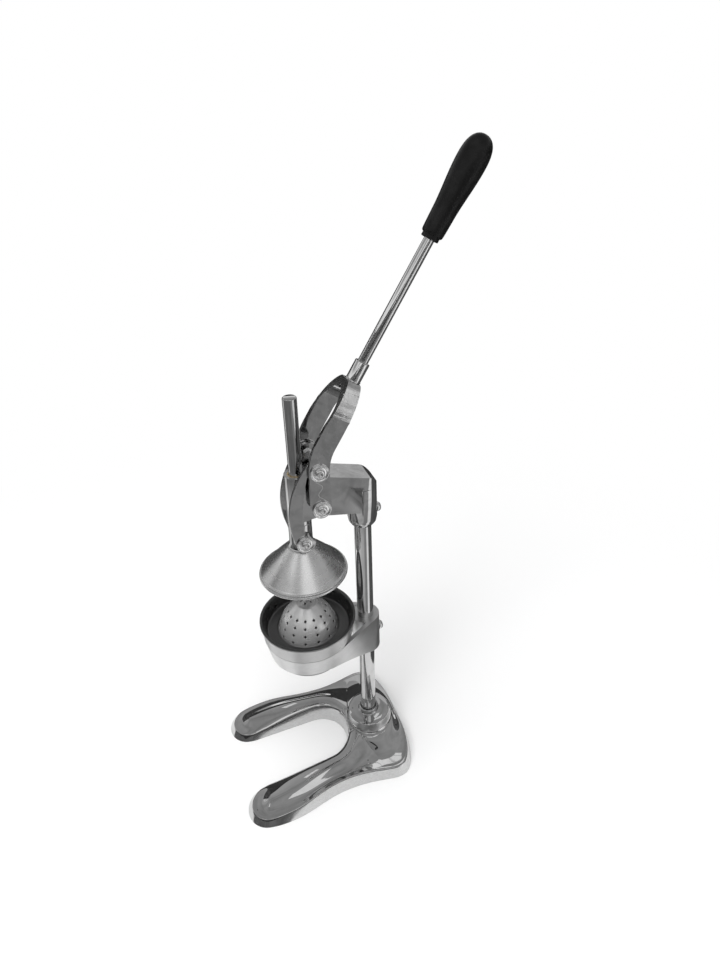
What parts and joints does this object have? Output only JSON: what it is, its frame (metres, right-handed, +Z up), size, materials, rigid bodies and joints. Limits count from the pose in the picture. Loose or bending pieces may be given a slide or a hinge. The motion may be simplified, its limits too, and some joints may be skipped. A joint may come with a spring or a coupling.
{
  "type": "lever citrus juice press",
  "caption": "Free-standing bar press: a long lever on a column drives a cone-shaped hood down onto a perforated reamer dome in a funnel bowl over a glass bay.",
  "frame": {"origin": "where the column's axis meets the bench, on the underside of the foot", "axes": "+Z up along the column, -Y to the front where the toes point, +X to the right of a person standing in front"},
  "size_m": [0.1812, 0.3202, 0.7517],
  "materials": {
    "plated_casting": "chrome plated casting, mirror top with a satin drafted edge",
    "plated_steel": "polished and plated steel with fine rub marks",
    "satin_casting": "satin plated casting",
    "spun_steel": "spun and pressed sheet, fine turned brushing",
    "fastener_steel": "bright turned steel",
    "bush_brass": "reamed bore",
    "black_grip": "black moulded grip with a fine texture"
  },
  "bodies": {
    "frame": {"base_foot": "plated_casting", "column": "plated_steel", "column_foot_washer": "fastener_steel", "column_foot_screw": "fastener_steel", "cup_bracket": "satin_casting", "bracket_set_screw": "fastener_steel", "head_casting": "plated_casting", "head_set_screw": "fastener_steel", "guide_bush": "bush_brass", "lever_pivot_pin": "fastener_steel", "lever_spacers": "fastener_steel", "lever_pivot_washers": "fastener_steel", "lever_pivot_screws": "fastener_steel"},
    "lever": {"lever_fork": "plated_steel", "socket_collar": "plated_steel", "handle_rod": "plated_steel", "grip": "black_grip", "crank_screws": "fastener_steel", "crank_washers": "fastener_steel"},
    "press": {"press_rod": "plated_steel", "hood_hub": "plated_casting", "hood": "spun_steel", "hood_nut": "fastener_steel", "hood_pivot_pin": "fastener_steel", "hood_pivot_washers": "fastener_steel", "hood_pivot_screws": "fastener_steel"},
    "links": {"link_right": "plated_steel", "link_left": "plated_steel", "crank_nuts": "fastener_steel"},
    "bowl": {"bowl": "spun_steel"},
    "strainer": {"strainer": "spun_steel"}
  },
  "joints": [
    {"name": "lever_hinge", "type": "hinge", "parent": "frame", "child": "lever", "pos_m": [0, -0.054, 0.394], "axis": [1, 0, 0], "range_deg": [0, 115]},
    {"name": "press_slide", "type": "slide", "parent": "frame", "child": "press", "axis": [0, 0, -1], "range_m": [0, 0.0634]},
    {"name": "link_hinge", "type": "hinge", "parent": "press", "child": "links", "pos_m": [0, -0.073, 0.35], "axis": [1, 0, 0], "range_deg": [0, 25.91]},
    {"name": "bowl_turn", "type": "hinge", "parent": "frame", "child": "bowl", "pos_m": [0, -0.073, 0.2], "axis": [0, 0, 1], "continuous": true},
    {"name": "strainer_turn", "type": "hinge", "parent": "bowl", "child": "strainer", "pos_m": [0, -0.073, 0.229], "axis": [0, 0, 1], "continuous": true}
  ],
  "couplings": [
    {"joint": "press_slide", "follows": "lever_hinge", "m_per_rad": 0.031576},
    {"joint": "link_hinge", "follows": "lever_hinge", "ratio": 0.22522}
  ]
}
